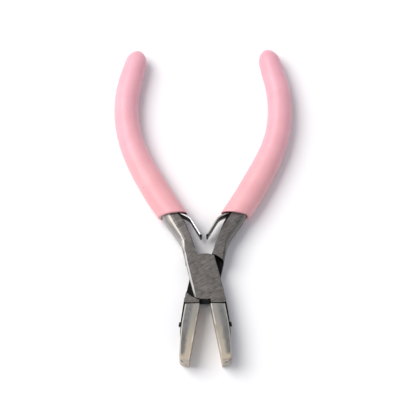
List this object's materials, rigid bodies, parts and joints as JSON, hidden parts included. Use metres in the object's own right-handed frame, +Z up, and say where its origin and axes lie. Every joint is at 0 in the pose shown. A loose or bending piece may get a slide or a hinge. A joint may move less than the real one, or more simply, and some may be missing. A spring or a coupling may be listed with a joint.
{
  "type": "nylon jaw flat nose pliers",
  "caption": "Small jewellery pliers with flat replaceable nylon jaws, a lap joint on a flush rivet, facing leaf springs and soft dipped grips.",
  "frame": {"origin": "on the pivot axis, at the flat underside of the lap joint, with the jaws open at rest", "axes": "+Y from the pivot towards the handles, along the middle line between the two halves; +Z up through the joint along the pivot axis; +X to the right with the jaws pointing down"},
  "size_m": [0.0758, 0.1396, 0.0106],
  "materials": {
    "ground_steel": "ground flats with polished handle edges and black oxide in the recesses",
    "rivet_steel": "ground flush with the joint",
    "spring_steel": "bright strip",
    "black_steel": "black oxide",
    "pink_vinyl": "satin dipped vinyl",
    "cream_nylon": "milky, slightly translucent"
  },
  "bodies": {
    "half_a_body": {"half_a": "ground_steel", "pivot_rivet": "rivet_steel", "grip_a": "pink_vinyl", "leaf_spring_a": "spring_steel", "spring_rivet_a": "black_steel", "nylon_jaw_a": "cream_nylon", "jaw_screw_a": "black_steel"},
    "half_b_body": {"half_b": "ground_steel", "grip_b": "pink_vinyl", "leaf_spring_b": "spring_steel", "spring_rivet_b": "black_steel", "nylon_jaw_b": "cream_nylon", "jaw_screw_b": "black_steel"}
  },
  "joints": [
    {"name": "jaw_pivot", "type": "hinge", "parent": "half_a_body", "child": "half_b_body", "pos_m": [0, 0, 0.004], "axis": [0, 0, 1], "range_deg": [-30, 20.8], "stiffness_Nm_per_rad": 0.25, "deforming": ["leaf_spring_a", "leaf_spring_b"]}
  ]
}
